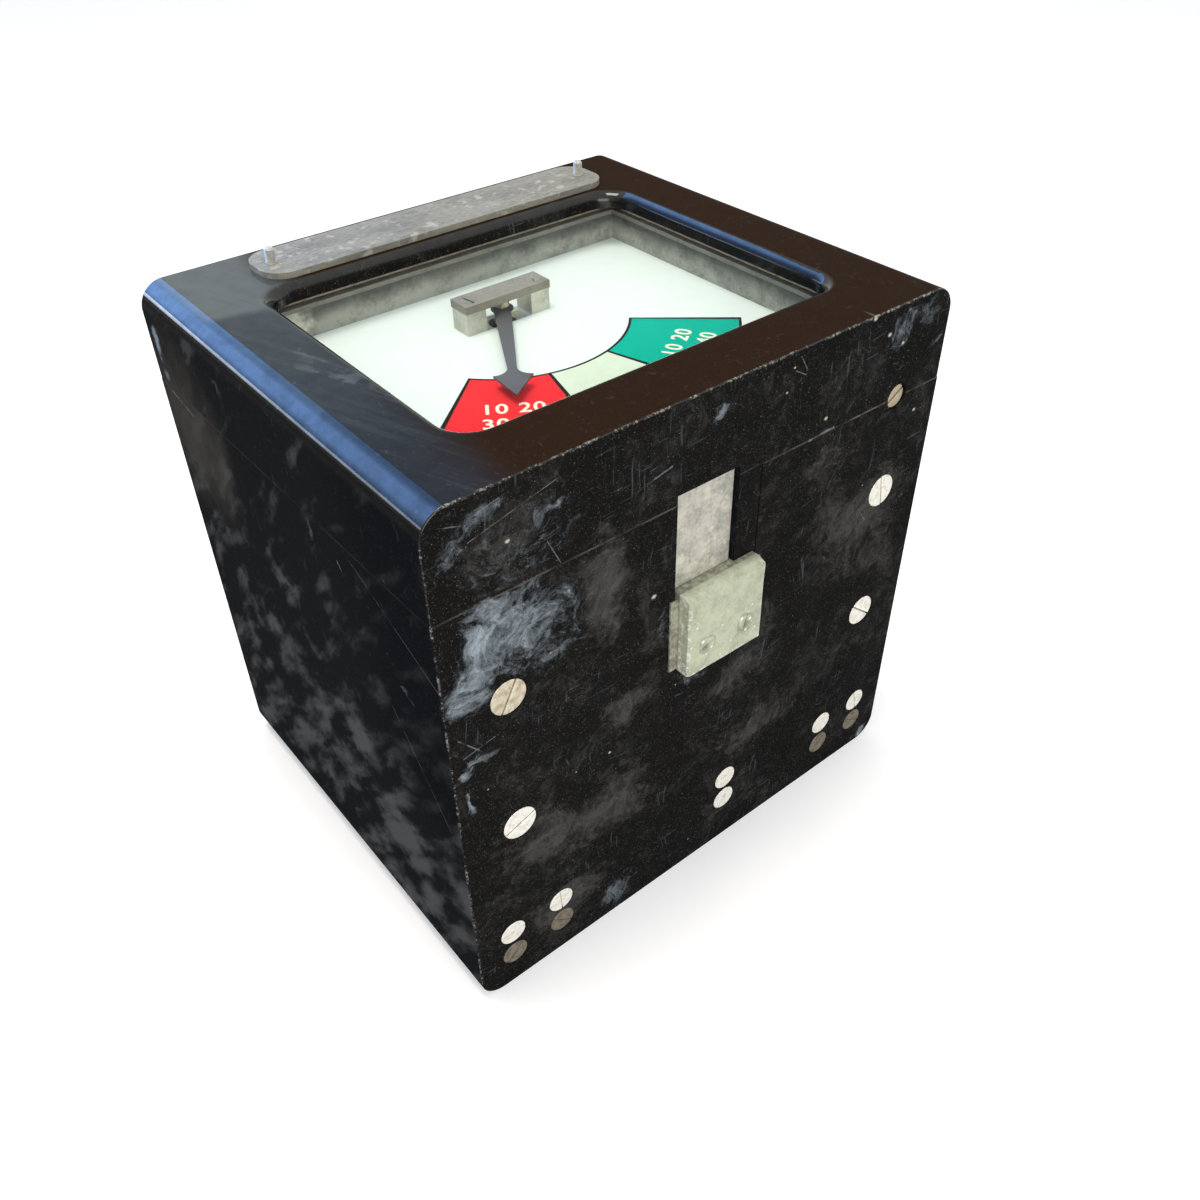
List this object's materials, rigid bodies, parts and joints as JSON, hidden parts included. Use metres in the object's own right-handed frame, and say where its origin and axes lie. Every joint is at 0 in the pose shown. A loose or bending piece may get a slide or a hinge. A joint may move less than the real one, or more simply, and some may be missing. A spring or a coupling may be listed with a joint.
{
  "type": "block indicator",
  "caption": "Railway block indicator: moulded black case with a glazed lift-off cover, a coloured dial and a spade pointer swung by an electromagnet under a plated bridge.",
  "frame": {"origin": "centre of the back face, which the instrument lies on", "axes": "+Z is the dial's outward normal, +X the dial's right and +Y the dial's top, so the instrument stands for use with -Y down"},
  "size_m": [0.203, 0.1795, 0.2129],
  "materials": {
    "phenolic": "polished moulded phenolic, black with a brown cast, worn and scratched",
    "brass": "dull worn brass",
    "nickel": "nickel plate, slightly yellowed",
    "strip_steel": "worn nickelled steel strip",
    "steel": "bright steel",
    "soft_iron": "soft iron, dark finish",
    "enamelled_wire": "enamelled copper wire, layer wound",
    "fibre": "vulcanised fibre",
    "board": "laminated paper board",
    "white_enamel": "white stoved enamel",
    "surround_paint": "cream-grey paint",
    "pointer_paint": "dark satin paint",
    "painted_casting": "grey-green paint over a rough casting",
    "carrier_metal": "dull weathered alloy with old cement marks",
    "cork": "cork sheet",
    "retainer_metal": "dull grey paint",
    "window": "clear window glass"
  },
  "bodies": {
    "case": {"base_shell": "phenolic", "bridge_bar": "nickel", "bridge_leg_left": "nickel", "bridge_leg_right": "nickel", "bridge_screws": "nickel", "channel_filler": "phenolic", "chassis_plate": "steel", "chassis_screws": "steel", "coil_bobbin_left": "fibre", "coil_bobbin_right": "fibre", "coil_core_left": "soft_iron", "coil_core_right": "soft_iron", "coil_winding_left": "enamelled_wire", "coil_winding_right": "enamelled_wire", "core_nuts": "steel", "dial_pillars": "brass", "dial_plate": "white_enamel", "dial_screws": "brass", "dial_surround": "surround_paint", "front_bearing": "brass", "keeper_block": "painted_casting", "keeper_screws": "painted_casting", "movement_posts": "brass", "movement_top_plate": "brass", "pole_shoe_left": "soft_iron", "pole_shoe_right": "soft_iron", "rail_lower_left": "steel", "rail_lower_right": "steel", "rail_upper_left": "steel", "rail_upper_right": "steel", "rear_bearing": "brass", "seam_screw": "brass", "stop_pins": "brass", "terminal_board": "board", "terminal_board_screws": "brass", "terminal_nuts": "brass", "terminal_studs": "brass", "terminal_washers": "brass", "top_wall_screws": "brass", "underside_screws": "brass", "yoke": "soft_iron"},
    "cover": {"cover_frame": "phenolic", "glass_gasket": "cork", "window_glass": "window", "glass_retainer": "retainer_metal", "retainer_screws": "steel", "name_plate_carrier": "carrier_metal", "carrier_studs": "steel", "carrier_nuts": "steel", "hasp_strip": "strip_steel", "hasp_screws": "brass"},
    "pointer": {"pointer_blade": "pointer_paint", "pointer_collet": "brass", "spindle": "steel", "armature": "soft_iron", "stop_arm": "steel", "balance_weight": "brass"}
  },
  "joints": [
    {"name": "pointer_swing", "type": "hinge", "parent": "case", "child": "pointer", "pos_m": [0, 0.0242, 0.189], "axis": [0, 0, 1], "range_deg": [0, 62]},
    {"name": "cover_lift", "type": "slide", "parent": "case", "child": "cover", "axis": [0, 0, 1], "range_m": [0, 0.09]}
  ]
}
